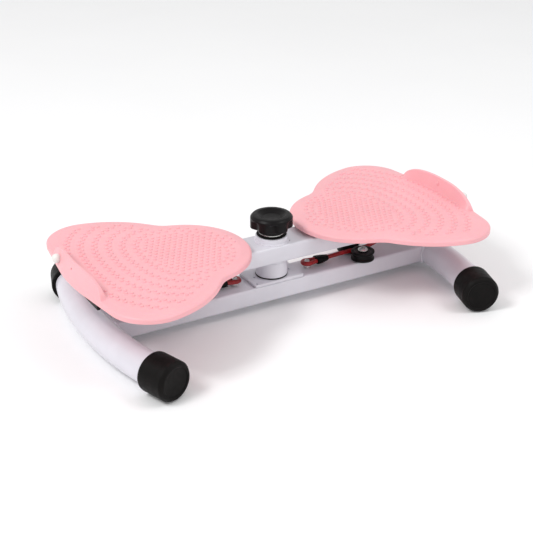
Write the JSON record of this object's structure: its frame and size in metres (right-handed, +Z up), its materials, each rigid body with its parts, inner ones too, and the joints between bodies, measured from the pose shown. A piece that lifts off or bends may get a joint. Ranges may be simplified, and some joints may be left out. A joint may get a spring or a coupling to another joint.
{
  "type": "swing stepper",
  "caption": "Floor stepper: a beam with a foot plate on each end yaws on a centre pivot over a low steel base, returned by stretch ropes.",
  "frame": {"origin": "on the floor, below the pivot axis, at the centre of the footprint", "axes": "+X along the base beam towards the right foot plate, +Y towards the rear, +Z up"},
  "size_m": [0.5972, 0.364, 0.1328],
  "materials": {
    "white_paint": "satin",
    "black_rubber": "matte",
    "black_plastic": "satin",
    "black_nylon": "satin",
    "pink_plastic": "satin",
    "white_plastic": "satin",
    "zinc_steel": "satin",
    "brass": "satin",
    "red_latex": "satin"
  },
  "bodies": {
    "base": {"base_beam": "white_paint", "base_spacer_tube": "zinc_steel", "clamp_washer": "zinc_steel", "leg_cap_front_left": "black_rubber", "leg_cap_front_right": "black_rubber", "leg_cap_rear_left": "black_rubber", "leg_cap_rear_right": "black_rubber", "leg_tube_left": "white_paint", "leg_tube_right": "white_paint", "pivot_bolt": "zinc_steel", "pivot_plate": "white_paint", "pulley_bolt_front_left": "zinc_steel", "pulley_bolt_front_right": "zinc_steel", "pulley_bolt_rear_left": "zinc_steel", "pulley_bolt_rear_right": "zinc_steel", "pulley_nut_front_left": "zinc_steel", "pulley_nut_front_right": "zinc_steel", "pulley_nut_rear_left": "zinc_steel", "pulley_nut_rear_right": "zinc_steel", "resistance_rope_left": "red_latex", "resistance_rope_right": "red_latex", "rope_anchor_base_left": "zinc_steel", "rope_anchor_base_right": "zinc_steel", "rope_anchor_nut_left": "zinc_steel", "rope_anchor_nut_right": "zinc_steel", "rope_sleeve_base_left": "black_plastic", "rope_sleeve_base_right": "black_plastic", "thrust_washer": "black_nylon"},
    "swing": {"hub_tube": "white_paint", "hub_bush_lower": "black_nylon", "hub_bush_upper": "black_nylon", "swing_beam": "white_paint", "swing_end_plug_left": "black_plastic", "swing_end_plug_right": "black_plastic", "hub_rubber_washer": "black_rubber", "support_plate_left": "white_paint", "support_plate_right": "white_paint", "foot_plate_left": "pink_plastic", "foot_plate_right": "pink_plastic", "foot_plate_screw_front_left": "zinc_steel", "foot_plate_screw_front_right": "zinc_steel", "foot_plate_screw_rear_left": "zinc_steel", "foot_plate_screw_rear_right": "zinc_steel", "side_stop_cap_left": "white_plastic", "side_stop_cap_right": "white_plastic", "rope_anchor_beam_left": "zinc_steel", "rope_anchor_beam_right": "zinc_steel", "rope_sleeve_beam_left": "black_plastic", "rope_sleeve_beam_right": "black_plastic"},
    "knob": {"clamp_knob": "black_plastic", "knob_insert": "brass", "knob_ring": "black_nylon"},
    "roller_front_left": {"guide_pulley_front_left": "black_plastic"},
    "roller_front_right": {"guide_pulley_front_right": "black_plastic"},
    "roller_rear_left": {"guide_pulley_rear_left": "black_plastic"},
    "roller_rear_right": {"guide_pulley_rear_right": "black_plastic"}
  },
  "joints": [
    {"name": "swing_yaw", "type": "hinge", "parent": "base", "child": "swing", "pos_m": [0, 0, 0.0815], "axis": [0, 0, 1], "range_deg": [-30, 30], "stiffness_Nm_per_rad": 25, "deforming": ["resistance_rope_left", "resistance_rope_right"]},
    {"name": "knob_turn", "type": "hinge", "parent": "base", "child": "knob", "pos_m": [0, 0, 0.12], "axis": [0, 0, 1], "continuous": true},
    {"name": "roller_spin_front_left", "type": "hinge", "parent": "base", "child": "roller_front_left", "pos_m": [-0.14, -0.0183, 0.047], "axis": [0, 0, 1], "continuous": true},
    {"name": "roller_spin_rear_left", "type": "hinge", "parent": "base", "child": "roller_rear_left", "pos_m": [-0.14, 0.0183, 0.047], "axis": [0, 0, 1], "continuous": true},
    {"name": "roller_spin_front_right", "type": "hinge", "parent": "base", "child": "roller_front_right", "pos_m": [0.14, -0.0183, 0.047], "axis": [0, 0, 1], "continuous": true},
    {"name": "roller_spin_rear_right", "type": "hinge", "parent": "base", "child": "roller_rear_right", "pos_m": [0.14, 0.0183, 0.047], "axis": [0, 0, 1], "continuous": true}
  ]
}
